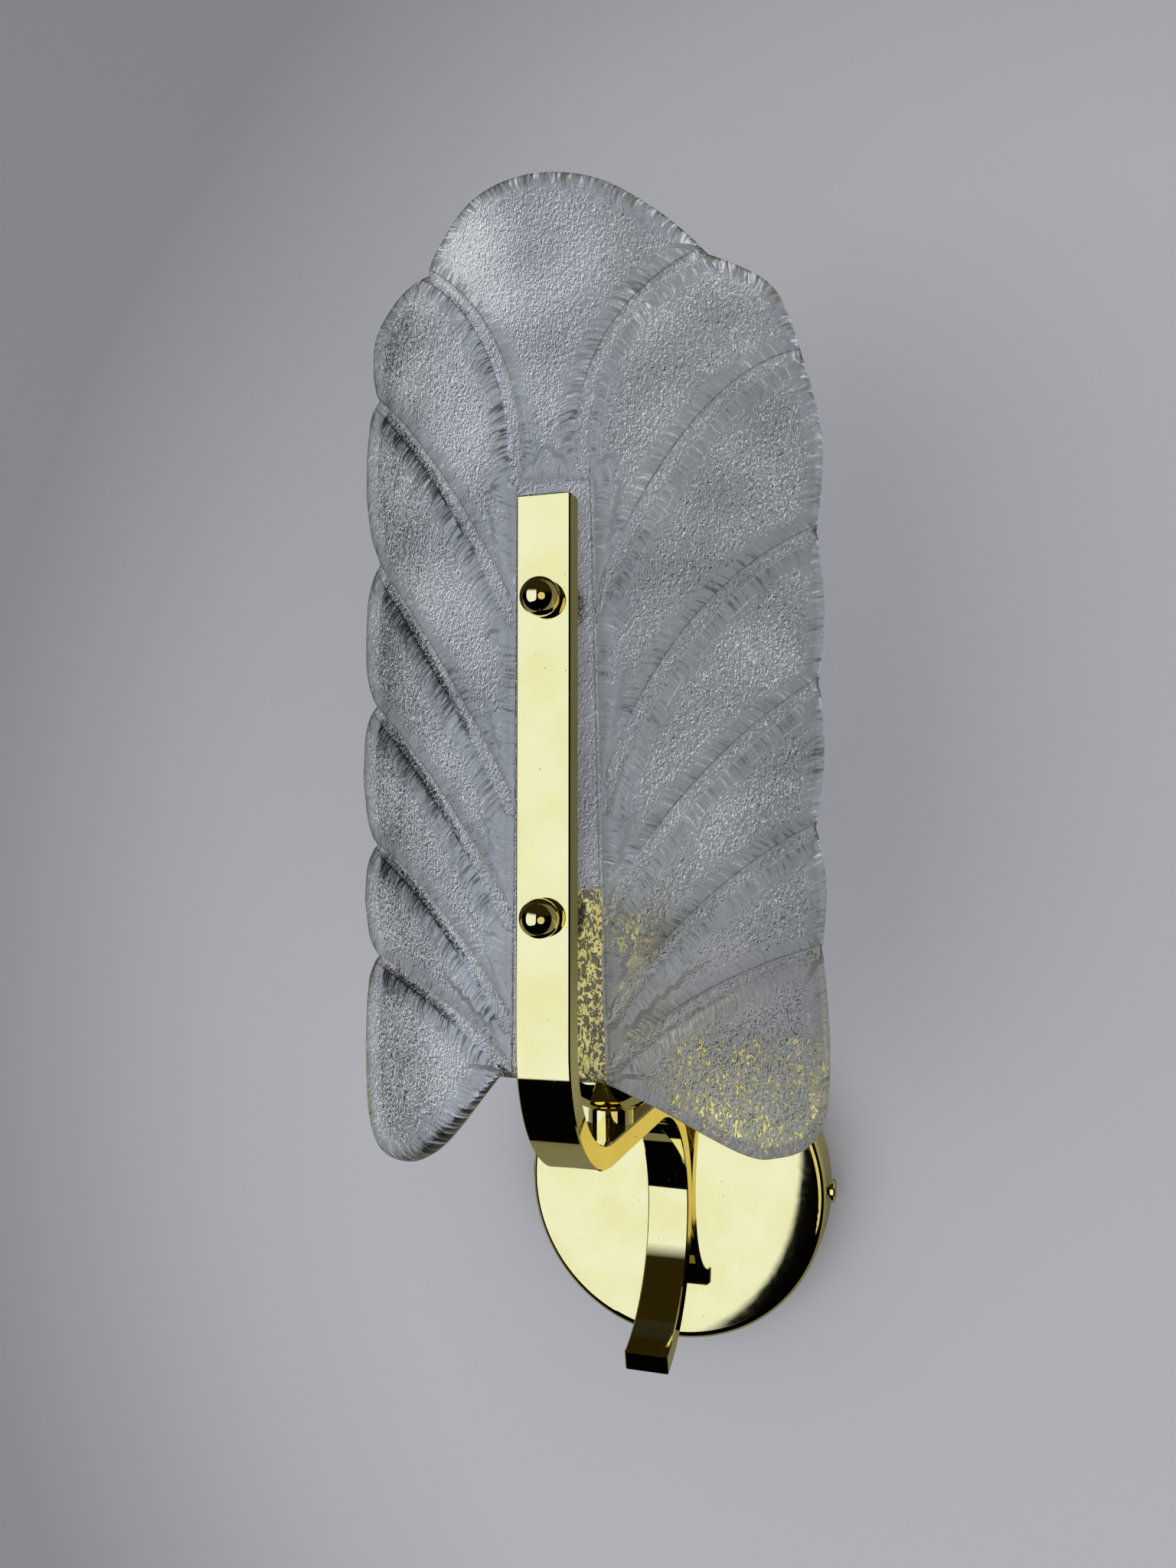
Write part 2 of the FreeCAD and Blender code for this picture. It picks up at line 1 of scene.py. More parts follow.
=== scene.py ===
# Looks of the leaf wall sconce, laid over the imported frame
import bpy
import json
import math
import numpy as np
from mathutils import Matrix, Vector, noise
from mathutils.geometry import delaunay_2d_cdt


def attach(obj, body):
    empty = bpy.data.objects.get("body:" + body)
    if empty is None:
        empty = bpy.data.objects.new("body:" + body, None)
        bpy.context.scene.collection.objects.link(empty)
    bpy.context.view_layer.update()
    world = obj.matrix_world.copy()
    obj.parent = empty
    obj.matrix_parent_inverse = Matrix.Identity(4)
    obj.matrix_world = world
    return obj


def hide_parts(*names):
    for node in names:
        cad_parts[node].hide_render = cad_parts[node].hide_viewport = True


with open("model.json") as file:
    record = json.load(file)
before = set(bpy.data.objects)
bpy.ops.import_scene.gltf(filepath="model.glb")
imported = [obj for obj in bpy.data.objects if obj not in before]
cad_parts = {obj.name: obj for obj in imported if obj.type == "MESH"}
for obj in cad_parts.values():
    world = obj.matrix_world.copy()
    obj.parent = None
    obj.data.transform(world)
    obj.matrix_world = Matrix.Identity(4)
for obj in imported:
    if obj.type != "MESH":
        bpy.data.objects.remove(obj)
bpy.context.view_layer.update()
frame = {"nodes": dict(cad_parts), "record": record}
mm = 0.001
noiseRange = (0.3, 0.7)  # where most of a noise node's values lie
print("frame loaded with", len(frame["nodes"]), "nodes")


def hexColour(code):  # sRGB hex to linear
    parts = [int(code[i:i + 2], 16) / 255 for i in (1, 3, 5)]
    return [c / 12.92 if c <= 0.04045 else ((c + 0.055) / 1.055) ** 2.4 for c in parts] + [1.0]


# One node with its settings and links. Values are numbers, colours or sockets, stops are those of a colour
# ramp, and a span gives a map range its two limits and what they become
def addNode(tree, kind, values, out=None, stops=(), span=(), **settings):
    node = tree.nodes.new("ShaderNode" + kind)
    for name, value in settings.items():
        setattr(node, name, value)
    for k, (place, code) in enumerate(stops):
        marks = node.color_ramp.elements
        mark = marks[k] if k < 2 else marks.new(place)
        mark.position = place
        mark.color = hexColour(code)
    for k, limit in enumerate(span, 1):
        node.inputs[k].default_value = limit
    for name, value in values.items():
        if isinstance(value, bpy.types.NodeSocket):
            tree.links.new(value, node.inputs[name])
        else:
            node.inputs[name].default_value = value
    if out:
        return node.outputs[out]
    return next((s for s in node.outputs if s.enabled), None)


def newMaterial(name):
    material = bpy.data.materials.new(name)
    material.use_nodes = True
    material.node_tree.nodes.clear()
    return material, material.node_tree, addNode(material.node_tree, "TexCoord", {}, "Object")


# Polished brass under clear lacquer: a mirror with a pale gold tint, faint waves from the buffing wheel
# and tiny dull pits where the lacquer has worn
polished = {
    "gold": [(0.35, "#f3e89c"), (0.65, "#f8eeac")], "cloud": 14.0, "wave": 22.0, "waveDepth": 0.010,
    "haze": 3.0, "rough": (0.02, 0.045), "worn": 9.0, "wornFrom": (0.56, 0.62),
    "pit": "#8a7434", "pitSize": 2.6, "pitEdge": (0.05, 0.09, 1.0, 0.0), "pitRough": 0.35,
}


def polishedBrass():
    material, tree, place = newMaterial("polishedBrass")
    cloud = addNode(tree, "TexNoise", {"Vector": place, "Scale": 1000 / polished["cloud"]})
    gold = addNode(tree, "ValToRGB", {"Fac": cloud}, stops=polished["gold"])
    near = addNode(tree, "TexVoronoi", {"Vector": place, "Scale": 1000 / polished["pitSize"]})
    dot = addNode(tree, "MapRange", {"Value": near}, span=polished["pitEdge"])
    worn = addNode(tree, "TexNoise", {"Vector": place, "Scale": 1000 / polished["worn"]})
    worn = addNode(tree, "MapRange", {"Value": worn}, span=polished["wornFrom"])
    pit = addNode(tree, "Math", {0: worn, 1: dot}, operation="MULTIPLY")
    gold = addNode(tree, "Mix", {"Factor": pit, "A": gold, "B": hexColour(polished["pit"])}, data_type="RGBA")
    haze = addNode(tree, "TexNoise", {"Vector": place, "Scale": 1000 / polished["haze"], "Detail": 4.0})
    haze = addNode(tree, "MapRange", {"Value": haze}, span=(*noiseRange, *polished["rough"]))
    dull = addNode(tree, "Math", {0: pit, 1: polished["pitRough"], 2: haze}, operation="MULTIPLY_ADD")
    wave = addNode(tree, "TexNoise", {"Vector": place, "Scale": 1000 / polished["wave"], "Detail": 0.0})
    wave = addNode(tree, "Bump", {"Height": wave, "Distance": polished["waveDepth"] * mm})
    shader = addNode(tree, "BsdfPrincipled", {"Base Color": gold, "Metallic": 1.0, "Roughness": dull,
                                              "Normal": wave})
    addNode(tree, "OutputMaterial", {"Surface": shader})
    return material


# Turned brass left plain: fine tool marks blur the mirror to a soft gold
turned = {"gold": [(0.3, "#b8984e"), (0.7, "#d8bd72")], "stain": 5.0, "rough": (0.22, 0.38), "mark": 0.5,
          "markDepth": 0.02}


def turnedBrass():
    material, tree, place = newMaterial("turnedBrass")
    stain = addNode(tree, "TexNoise", {"Vector": place, "Scale": 1000 / turned["stain"], "Detail": 4.0})
    gold = addNode(tree, "ValToRGB", {"Fac": stain}, stops=turned["gold"])
    blur = addNode(tree, "MapRange", {"Value": stain}, span=(*noiseRange, *turned["rough"]))
    mark = addNode(tree, "TexNoise", {"Vector": place, "Scale": 1000 / turned["mark"]})
    mark = addNode(tree, "Bump", {"Height": mark, "Distance": turned["markDepth"] * mm})
    shader = addNode(tree, "BsdfPrincipled", {"Base Color": gold, "Metallic": 1.0, "Roughness": blur,
                                              "Normal": mark})
    addNode(tree, "OutputMaterial", {"Surface": shader})
    return material


# Zinc plated mild steel: cool grey with a faint spangle and soft sheen
zinc = {"grey": [(0.0, "#9fa3a6"), (1.0, "#c9cdd0")], "spangle": 3.5, "blur": 1.2, "rough": (0.28, 0.45)}


def zincSteel():
    material, tree, place = newMaterial("zincSteel")
    cells = addNode(tree, "TexVoronoi", {"Vector": place, "Scale": 1000 / zinc["spangle"]}, "Color")
    cells = addNode(tree, "SeparateColor", {"Color": cells})
    grey = addNode(tree, "ValToRGB", {"Fac": cells}, stops=zinc["grey"])
    blur = addNode(tree, "TexNoise", {"Vector": place, "Scale": 1000 / zinc["blur"]})
    blur = addNode(tree, "MapRange", {"Value": blur}, span=(*noiseRange, *zinc["rough"]))
    shader = addNode(tree, "BsdfPrincipled", {"Base Color": grey, "Metallic": 1.0, "Roughness": blur})
    addNode(tree, "OutputMaterial", {"Surface": shader})
    return material


# Plain moulded and extruded stuffs: a cloudy colour and a fine skin, with sizes in mm
mouldedCloud = 4.0
mouldedDepth = 0.03
moulded = {
    "clearVinyl": {"tone": [(0.3, "#cfd0c6"), (0.7, "#e6e6de")], "rough": (0.12, 0.25), "skin": 0.6,
                   "ior": 1.53, "clear": 0.8},
    "blackRubber": {"tone": [(0.3, "#141414"), (0.7, "#222120")], "rough": (0.6, 0.8), "skin": 0.4,
                    "ior": 1.52, "clear": 0.0},
    "naturalNylon": {"tone": [(0.3, "#d8d4c6"), (0.7, "#ebe8de")], "rough": (0.4, 0.55), "skin": 0.8,
                     "ior": 1.53, "clear": 0.0},
    "blackPhenolic": {"tone": [(0.3, "#100d0b"), (0.7, "#241d18")], "rough": (0.25, 0.4), "skin": 1.2,
                      "ior": 1.6, "clear": 0.0},
    "goldSheath": {"tone": [(0.3, "#6f5526"), (0.7, "#8d6f36")], "rough": (0.3, 0.42), "skin": 1.5,
                   "ior": 1.53, "clear": 0.0},
    "brownInsulation": {"tone": [(0.3, "#4a2a16"), (0.7, "#5f3920")], "rough": (0.3, 0.4), "skin": 1.5,
                        "ior": 1.53, "clear": 0.0},
}


def mouldedStuff(name):
    kind = moulded[name]
    material, tree, place = newMaterial(name)
    cloud = addNode(tree, "TexNoise", {"Vector": place, "Scale": 1000 / mouldedCloud, "Detail": 3.0})
    tone = addNode(tree, "ValToRGB", {"Fac": cloud}, stops=kind["tone"])
    skin = addNode(tree, "TexNoise", {"Vector": place, "Scale": 1000 / kind["skin"]})
    blur = addNode(tree, "MapRange", {"Value": skin}, span=(*noiseRange, *kind["rough"]))
    skin = addNode(tree, "Bump", {"Height": skin, "Distance": mouldedDepth * mm})
    shader = addNode(tree, "BsdfPrincipled", {"Base Color": tone, "Roughness": blur, "Normal": skin,
                                              "IOR": kind["ior"], "Transmission Weight": kind["clear"]})
    addNode(tree, "OutputMaterial", {"Surface": shader})
    return material


# Cast ice glass: clear glass poured on a gritty mould, so the front is full of real grains, drawn white and
# dark by painted light and shade, and the back is smooth.
# Beside the veins it flows with streaks across, and the foot is milky with pale gold flecks, a painted image
# of the brass seen through the glass.
# The grain is about half a millimetre in the real glass and is drawn a little coarser so that it shows
iceGlass = {
    # Sizes in mm
    "grain": 0.8, "fine": 0.5, "ripple": 2.4, "fleck": 1.3, "relief": 0.9, "litFrom": (0.16, 0.0, -0.12),
    "streak": 0.85, "streakLength": 6.0, "root": 0.8, "rootRun": 30.0, "glintRun": 16.0,
    # Middle and half width of the line beside a vein and of a painted highlight thread, in mm, and of a
    # fleck's outline
    "border": (0.1, 0.2), "glint": (5.2, 0.16), "fleckLine": (0.57, 0.014),
    # Spans over the leaf, in metres
    "emboss": (-0.02, 0.02, 1.15, 0.75), "rimUp": (0.225, 0.285, 0.25, 0.8),
    # Spans of a noise or of one of the leaf's fields
    "spark": (0.64, 0.69, 0.0, 0.10), "plain": (1.0, 1.5, 0.0, 0.8), "fleckFrom": (0.58, 0.60),
    "ragged": (0.40, 0.60, 0.8, 0.35), "combGap": (0.40, 0.52, 1.0, 0.0), "strip": (0.072, 0.082, 0.0, 0.85),
    "white": (0.49, 0.64), "glintFrom": (0.52, 0.60), "rootGlint": (0.54, 0.66, 0.0, 0.8),
    "clear": (0.0, 1.0, 0.95, 0.32), "rough": (0.0, 1.0, 0.05, 0.015),
    # Shares
    "pull": 0.65, "streakBend": 0.05, "footEmboss": 0.35, "middle": 0.5, "swellGrain": 0.3,
    "calm": (0.39, 0.57), "plainLevel": 0.54, "fleckRelief": -0.5, "fleckFrost": 0.5, "outline": 0.85,
    "rootPale": 1.6, "haze": 0.8, "ior": 1.5,
    # Colours: painted shade for the combs, the shaded side of the vein borders and the fleck outlines; the
    # strip's dull tint and the gold of the flecks are a painted image of the brass seen through the glass
    "frost": [(0.31, "#141619"), (0.40, "#626c6e"), (0.46, "#b2bbbd"), (0.55, "#b2bbbd"), (0.62, "#ffffff")],
    "milk": [(0.30, "#141619"), (0.37, "#626c6e"), (0.44, "#9b9ea0"), (0.54, "#9b9ea0"), (0.60, "#b9bcbe")],
    "paintedShade": "#2e3136", "rimTint": "#8d8350", "seenBrassShade": "#4d4836", "gold": "#faf0a0",
    "backTint": "#f6f6f4",
}


def castGlass():
    material, tree, place = newMaterial("castIceGlass")
    flow = addNode(tree, "Attribute", {}, "Vector", attribute_name="leafFlow")
    along, across, lane = addNode(tree, "SeparateXYZ", {"Vector": flow}).node.outputs
    edge, comb, tone, rim, side, vein, foot, root, front, spotted = (
        addNode(tree, "Attribute", {}, "Fac", attribute_name=name) for name in (
            "leafEdge", "leafCombShade", "leafTone", "leafRim", "leafLitSide", "leafVein", "leafFoot", "leafRoot",
            "leafFront", "leafFleck"))
    pulled = addNode(tree, "Mapping", {"Vector": place, "Scale": (1.0, 1.0, iceGlass["pull"])})
    crumbs = {"Scale": 1000 / iceGlass["grain"], "Roughness": 0.6, "Distortion": 1.0}
    coarse = addNode(tree, "TexNoise", {"Vector": pulled, **crumbs})
    fine = addNode(tree, "TexNoise", {"Vector": pulled, "Scale": 1000 / iceGlass["fine"], "Detail": 1.0})
    ripple = addNode(tree, "TexNoise", {"Vector": pulled, "Scale": 1000 / iceGlass["ripple"], "Detail": 1.0,
                                        "Distortion": 0.8})
    # Each grain is pale on its upper left and dark on its lower right, as if the light raked across it
    lifted = addNode(tree, "Mapping", {"Vector": pulled, "Location": [mm * k for k in iceGlass["litFrom"]]})
    lifted = addNode(tree, "TexNoise", {"Vector": lifted, **crumbs})
    grain = addNode(tree, "Math", {0: coarse, 1: lifted}, operation="SUBTRACT")
    spot = addNode(tree, "SeparateXYZ", {"Vector": place}).node.outputs
    strength = addNode(tree, "MapRange", {"Value": spot["X"]}, span=iceGlass["emboss"])
    strength = addNode(tree, "Math", {0: foot, 1: iceGlass["footEmboss"], 2: strength},
                       operation="MULTIPLY_ADD")
    grain = addNode(tree, "Math", {0: grain, 1: strength, 2: iceGlass["middle"]}, operation="MULTIPLY_ADD")
    spark = addNode(tree, "MapRange", {"Value": fine}, span=iceGlass["spark"])
    grain = addNode(tree, "Math", {0: grain, 1: spark}, operation="ADD")
    swell = addNode(tree, "Mix", {"Factor": iceGlass["swellGrain"], "A": ripple, "B": coarse})
    # Streaks start square to the vein and lean over as they leave it
    lean = addNode(tree, "Math", {0: across, 1: across}, operation="MULTIPLY")
    run = addNode(tree, "Math", {0: lean, 1: iceGlass["streakBend"], 2: along}, operation="MULTIPLY_ADD")
    run = addNode(tree, "Math", {0: run, 1: 1 / iceGlass["streak"]}, operation="MULTIPLY")
    reach = addNode(tree, "Math", {0: across, 1: 1 / iceGlass["streakLength"]}, operation="MULTIPLY")
    run = addNode(tree, "CombineXYZ", {"X": run, "Y": reach, "Z": lane})
    streak = addNode(tree, "TexNoise", {"Vector": run, "Scale": 1.0, "Detail": 2.0, "Distortion": 0.5})
    # Grain in the panels gives way to faint streaks beside the veins, and to stronger ones in the upper rim
    rise = addNode(tree, "MapRange", {"Value": spot["Z"]}, span=iceGlass["rimUp"])
    rim = addNode(tree, "Math", {0: rim, 1: rise}, operation="MULTIPLY")
    calm = addNode(tree, "MapRange", {"Value": streak}, span=(*noiseRange, *iceGlass["calm"]))
    plain = addNode(tree, "MapRange", {"Value": edge}, span=iceGlass["plain"])
    calm = addNode(tree, "Mix", {"Factor": plain, "A": calm, "B": iceGlass["plainLevel"]})
    height = addNode(tree, "Mix", {"Factor": edge, "A": grain, "B": calm})
    height = addNode(tree, "Mix", {"Factor": rim, "A": height, "B": streak})
    relief = addNode(tree, "Mix", {"Factor": edge, "A": swell, "B": calm})
    relief = addNode(tree, "Mix", {"Factor": rim, "A": relief, "B": streak})
    # Smooth gold flecks in the foot, a painted image of the brass seen through the glass, each ringed with
    # painted shade, closest in the strip beside the bar
    fleck = addNode(tree, "TexNoise", {"Vector": pulled, "Scale": 1000 / iceGlass["fleck"], "Detail": 2.0,
                                       "Distortion": 1.4})
    fleck = addNode(tree, "Math", {0: fleck, 1: spotted}, operation="ADD")
    middle, half = iceGlass["fleckLine"]
    outline = addNode(tree, "Math", {0: fleck, 1: middle, 2: half}, operation="COMPARE")
    outline = addNode(tree, "Math", {0: outline, 1: iceGlass["outline"]}, operation="MULTIPLY")
    fleck = addNode(tree, "MapRange", {"Value": fleck}, span=iceGlass["fleckFrom"])
    fleck = addNode(tree, "Math", {0: fleck, 1: front}, operation="MULTIPLY")
    rough = addNode(tree, "Math", {0: fleck, 1: iceGlass["fleckRelief"], 2: front}, operation="MULTIPLY_ADD")
    relief = addNode(tree, "Math", {0: relief, 1: rough}, operation="MULTIPLY")
    bumps = addNode(tree, "Bump", {"Height": relief, "Distance": iceGlass["relief"] * mm})
    level = addNode(tree, "Math", {0: height, 1: tone}, operation="ADD")
    frosted = addNode(tree, "ValToRGB", {"Fac": level}, stops=iceGlass["frost"])
    milky = addNode(tree, "ValToRGB", {"Fac": level}, stops=iceGlass["milk"])
    colour = addNode(tree, "Mix", {"Factor": foot, "A": frosted, "B": milky}, data_type="RGBA")
    # A ragged line borders each vein: painted shade on its shaded side, a painted highlight on its lit side
    # and at its root
    middle, half = iceGlass["border"]
    line = addNode(tree, "Math", {0: vein, 1: middle, 2: half}, operation="COMPARE")
    ragged = addNode(tree, "MapRange", {"Value": fine}, span=iceGlass["ragged"])
    line = addNode(tree, "Math", {0: line, 1: ragged}, operation="MULTIPLY")
    pale = addNode(tree, "Math", {0: root, 1: iceGlass["rootPale"], 2: side}, operation="MULTIPLY_ADD",
                   use_clamp=True)
    lit = addNode(tree, "Math", {0: line, 1: pale}, operation="MULTIPLY")
    shaded = addNode(tree, "Math", {0: line, 1: lit}, operation="SUBTRACT")
    # Painted shade as dark combs on the shaded side of the veins, olive streaks in the upper rim, and a dull
    # strip beside the bar that is a painted image of the shaded brass seen through the glass
    gap = addNode(tree, "MapRange", {"Value": streak}, span=iceGlass["combGap"])
    dash = addNode(tree, "Math", {0: gap, 1: comb}, operation="MULTIPLY")
    olive = addNode(tree, "Math", {0: gap, 1: rim}, operation="MULTIPLY")
    strip = addNode(tree, "MapRange", {"Value": spotted}, span=iceGlass["strip"])
    back = addNode(tree, "Math", {0: 1.0, 1: front}, operation="SUBTRACT")
    for share, tint in ((shaded, "paintedShade"), (dash, "paintedShade"), (olive, "rimTint"), (strip, "seenBrassShade"),
                        (outline, "paintedShade"), (fleck, "gold"), (back, "backTint")):
        colour = addNode(tree, "Mix", {"Factor": share, "A": colour, "B": hexColour(iceGlass[tint])},
                         data_type="RGBA")
    # Frost is white where the grains stand up, and on their painted lit sides. Thin white threads of painted
    # highlight run beside the right hand veins and at all roots, and the back and the flecks are smooth
    white = addNode(tree, "MapRange", {"Value": level}, span=iceGlass["white"])
    haze = addNode(tree, "Math", {0: foot, 1: iceGlass["haze"]}, operation="MULTIPLY")
    middle, half = iceGlass["glint"]
    glintThread = addNode(tree, "Math", {0: across, 1: middle, 2: half}, operation="COMPARE")
    broken = addNode(tree, "Math", {0: along, 1: 1 / iceGlass["glintRun"]}, operation="MULTIPLY")
    broken = addNode(tree, "TexNoise", {"W": broken, "Scale": 1.0}, noise_dimensions="1D")
    broken = addNode(tree, "MapRange", {"Value": broken}, span=iceGlass["glintFrom"])
    glintThread = addNode(tree, "Math", {0: glintThread, 1: broken}, operation="MULTIPLY")
    glintThread = addNode(tree, "Math", {0: glintThread, 1: side}, operation="MULTIPLY")
    wide = addNode(tree, "Math", {0: across, 1: 1 / iceGlass["root"]}, operation="MULTIPLY")
    long = addNode(tree, "Math", {0: along, 1: 1 / iceGlass["rootRun"]}, operation="MULTIPLY")
    rootGlint = addNode(tree, "CombineXYZ", {"X": wide, "Y": long, "Z": lane})
    rootGlint = addNode(tree, "TexNoise", {"Vector": rootGlint, "Scale": 1.0, "Detail": 0.0})
    rootGlint = addNode(tree, "MapRange", {"Value": rootGlint}, span=iceGlass["rootGlint"])
    rootGlint = addNode(tree, "Math", {0: rootGlint, 1: root}, operation="MULTIPLY")
    for more in (haze, glintThread, lit, rootGlint):
        white = addNode(tree, "Math", {0: white, 1: more}, operation="MAXIMUM")
    smooth = addNode(tree, "Math", {0: back, 1: fleck}, operation="MAXIMUM")
    keep = addNode(tree, "Math", {0: 1.0, 1: smooth}, operation="SUBTRACT")
    white = addNode(tree, "Math", {0: white, 1: keep}, operation="MULTIPLY")
    white = addNode(tree, "Math", {0: fleck, 1: iceGlass["fleckFrost"], 2: white}, operation="MULTIPLY_ADD")
    clear = addNode(tree, "MapRange", {"Value": white}, span=iceGlass["clear"])
    blur = addNode(tree, "MapRange", {"Value": smooth}, span=iceGlass["rough"])
    shader = addNode(tree, "BsdfPrincipled", {"Base Color": colour, "Roughness": blur, "Normal": bumps,
                                              "IOR": iceGlass["ior"], "Transmission Weight": clear})
    addNode(tree, "OutputMaterial", {"Surface": shader})
    return material


finishes = {
    "polished_brass": polishedBrass(),
    "plain_brass": turnedBrass(),
    "zinc_steel": zincSteel(),
    "cast_glass": castGlass(),
    "clear_plastic": mouldedStuff("clearVinyl"),
    "black_rubber": mouldedStuff("blackRubber"),
    "natural_nylon": mouldedStuff("naturalNylon"),
    "black_phenolic": mouldedStuff("blackPhenolic"),
    "lead_sheath": mouldedStuff("goldSheath"),
    "core_brown": mouldedStuff("brownInsulation"),
}
for row in frame["record"]["subparts"]:
    mesh = frame["nodes"][row["node"]].data
    mesh.materials.clear()
    mesh.materials.append(finishes[row["material_slot"]])


# Glass leaf, in mm: x and z on its middle surface, which bends round an upright axis
leaf = {
    "axisY": -53.0, "midR": 100.0, "backR": 96.0, "grooveR": 101.6, "swell": 2.4, "swellWidth": 7.0,
    "crown": 0.8, "crownWidth": 26.0, "veinHalf": (1.3, 0.6), "channelHalf": 0.3, "channelY": -156.0,
    "rimRound": 4.2, "unevenSize": 6.0, "uneven": 0.22, "backShift": 7,
    "boltZ": (193.0, 109.0), "boltR": 3.45,
}
# Net of the leaf, in mm: spacing of its points, and how near to a line or a hole a point may be
leafNet = {
    "grid": 1.5, "lineShare": 0.8, "rimRows": (0.35, 1.0, 2.0), "veinRows": (0.0, 0.5, 1.3), "gridRoom": 2.9,
    "boltRoom": 0.6, "crowd": 0.85, "boltSides": 32, "insideBolt": 0.98, "merge": 1e-4, "curveSteps": 24,
    "veinSteps": 40, "blockSize": 4000,
}
# Stretches of the outline between its cusps, clockwise from the notch, each a smooth curve through its points
leafOutline = [
    [(13.0, 64.6), (28.1, 57.4), (48.0, 45.6), (56.0, 44.3), (62.5, 46.0), (66.6, 51.0), (68.3, 59.0),
     (68.7, 76.0), (67.5, 99.5)],
    [(67.5, 99.5), (68.2, 117.0), (66.3, 132.8)],
    [(66.3, 132.8), (68.0, 153.0), (67.2, 172.7)],
    [(67.2, 172.7), (68.2, 194.0), (67.0, 214.6)],
    [(67.0, 214.6), (68.0, 240.0), (63.8, 263.2)],
    [(63.8, 263.2), (56.2, 281.0), (40.4, 289.1)],
    [(40.4, 289.1), (27.0, 300.8), (10.0, 311.0), (-10.0, 314.6), (-28.0, 310.3), (-43.7, 295.7)],
    [(-43.7, 295.7), (-55.0, 292.2), (-66.5, 283.0), (-67.8, 266.6)],
    [(-67.8, 266.6), (-71.0, 252.0), (-70.2, 231.0), (-66.0, 215.0)],
    [(-66.0, 215.0), (-70.0, 202.0), (-70.6, 184.0), (-68.0, 171.0)],
    [(-68.0, 171.0), (-71.6, 158.0), (-70.8, 141.0), (-67.1, 128.0)],
    [(-67.1, 128.0), (-70.2, 117.0), (-69.0, 104.0), (-65.8, 94.2)],
    [(-65.8, 94.2), (-68.6, 80.0), (-68.2, 58.0), (-66.0, 44.5), (-60.5, 37.2), (-53.0, 35.4), (-44.5, 37.4),
     (-34.0, 45.0), (-17.3, 64.3)],
    [(-17.3, 64.3), (13.0, 64.6)],
]
# Veins as base, bend and tip
leafVeins = [
    [(8.0, 227.0), (4.0, 268.0), (40.4, 289.1)],
    [(11.2, 190.5), (35.6, 252.3), (63.8, 263.2)],
    [(12.3, 136.0), (29.1, 191.6), (67.0, 214.6)],
    [(13.0, 106.5), (35.1, 147.8), (67.2, 172.7)],
    [(13.6, 79.8), (38.9, 117.3), (66.3, 132.8)],
    [(13.8, 68.0), (39.0, 92.5), (67.5, 99.5)],
    [(-11.0, 228.0), (-11.0, 273.2), (-43.7, 295.7)],
    [(-11.2, 188.0), (-34.3, 238.7), (-67.8, 266.6)],
    [(-11.4, 136.5), (-35.4, 182.4), (-66.0, 215.0)],
    [(-11.5, 105.0), (-37.2, 150.5), (-68.0, 171.0)],
    [(-11.7, 77.0), (-38.0, 118.6), (-67.1, 128.0)],
    [(-11.8, 66.5), (-36.1, 87.9), (-65.8, 94.2)],
]
# Edge of the flat channel behind the bar, up one side, across the top and down the other
leafChannel = [(13.9, 64.6), (10.2, 226.8), (-10.8, 227.6), (-11.8, 64.3)]


def evenSteps(points, step):  # the same line with points about a step apart
    points = np.array(points, float)
    runs = np.linalg.norm(np.diff(points, axis=0), axis=1)
    reach = np.concatenate([[0.0], np.cumsum(runs)])
    marks = np.linspace(0.0, reach[-1], max(2, round(reach[-1] / step) + 1))
    return np.stack([np.interp(marks, reach, points[:, k]) for k in range(2)], axis=1)


def throughPoints(points, step):  # smooth curve through every point
    if len(points) == 2:
        return evenSteps(points, step)
    p = np.array(points, float)
    p = np.vstack([2 * p[0] - p[1], p, 2 * p[-1] - p[-2]])
    t = np.linspace(0.0, 1.0, leafNet["curveSteps"], endpoint=False)[:, None]
    dense = []
    for a, b, c, d in zip(p, p[1:], p[2:], p[3:]):
        dense.append(b + 0.5 * t * (c - a + t * (2 * a - 5 * b + 4 * c - d + t * (3 * (b - c) + d - a))))
    dense.append(p[-2:-1])
    return evenSteps(np.vstack(dense), step)


def bentVein(base, bend, tip, step):
    t = np.linspace(0.0, 1.0, leafNet["veinSteps"])[:, None]
    base, bend, tip = (np.array(p) for p in (base, bend, tip))
    return evenSteps((1 - t) ** 2 * base + 2 * t * (1 - t) * bend + t ** 2 * tip, step)


def nearest(points, line):  # distance to a line, how far along it the nearest place is, and that place's x
    start = line[:-1]
    run = line[1:] - start
    length = np.linalg.norm(run, axis=1)
    reach = np.concatenate([[0.0], np.cumsum(length)])[:-1]
    gap = np.empty(len(points))
    along = np.empty(len(points))
    foot = np.empty(len(points))
    for first in range(0, len(points), leafNet["blockSize"]):
        part = slice(first, first + leafNet["blockSize"])
        block = points[part, None, :]
        share = np.clip(((block - start) * run).sum(-1) / length ** 2, 0.0, 1.0)
        apart = np.linalg.norm(block - start - share[..., None] * run, axis=-1)
        pick = apart.argmin(1)
        rows = np.arange(len(pick))
        gap[part] = apart[rows, pick]
        along[part] = reach[pick] + share[rows, pick] * length[pick]
        foot[part] = start[pick, 0] + share[rows, pick] * run[pick, 0]
    return gap, along, foot


def besideLine(line, offset):
    ahead = np.gradient(line, axis=0)
    ahead /= np.linalg.norm(ahead, axis=1)[:, None]
    return line + np.reshape(offset, (-1, 1)) * np.stack([-ahead[:, 1], ahead[:, 0]], axis=1)


def halfWidth(k, share):  # of crease k at a share of its length: veins narrow to their tips
    if k == len(leafVeins):
        return leaf["channelHalf"] + 0 * share
    base, tip = leaf["veinHalf"]
    return base + (tip - base) * share


